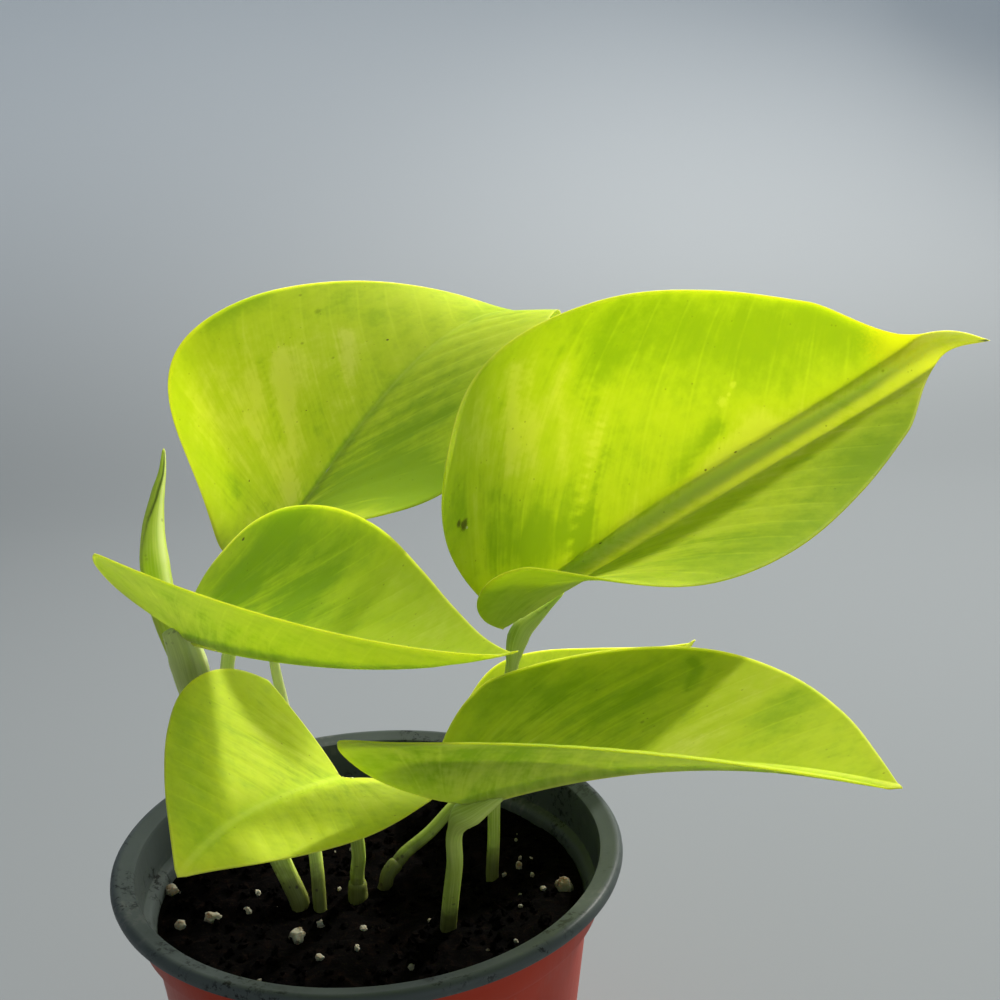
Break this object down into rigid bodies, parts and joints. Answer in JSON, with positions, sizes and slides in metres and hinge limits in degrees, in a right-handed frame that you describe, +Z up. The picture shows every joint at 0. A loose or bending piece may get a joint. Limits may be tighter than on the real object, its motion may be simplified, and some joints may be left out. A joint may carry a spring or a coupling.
{
  "type": "potted houseplant",
  "caption": "Neon pothos with heart-shaped yellow-green leaves on slender stalks, rooted as cuttings in a round nursery pot filled with soil.",
  "frame": {"origin": "middle of the flat underside of the pot, on the surface it stands on", "axes": "+Z up along the pot's axis; -Y towards the side shown at the front, +X to the right as seen from the front"},
  "size_m": [0.1769, 0.1844, 0.191],
  "materials": {
    "pot_plastic": "satin brick-red formed plastic, dark grey-green on the rim and inside",
    "soil": "matte moist dark potting soil with white perlite",
    "leaf": "satin neon yellow-green leaf, darker in its shaded folds",
    "petiole": "satin pale green leaf stalk",
    "stem": "matte green-brown stem of a cutting"
  },
  "bodies": {
    "root": {"pot": "pot_plastic", "soil": "soil", "leaf_back_left": "leaf", "leaf_back_right": "leaf", "leaf_front_left": "leaf", "leaf_low_left": "leaf", "leaf_front_right": "leaf", "leaf_low_right": "leaf", "leaf_rolled": "leaf", "petiole_back_left": "petiole", "petiole_back_right": "petiole", "petiole_front_left": "petiole", "petiole_low_left": "petiole", "petiole_front_right": "petiole", "petiole_low_right": "petiole", "stem_left": "stem", "stem_middle": "stem", "stem_slanted": "stem", "stalk_bare": "stem"}
  },
  "joints": []
}
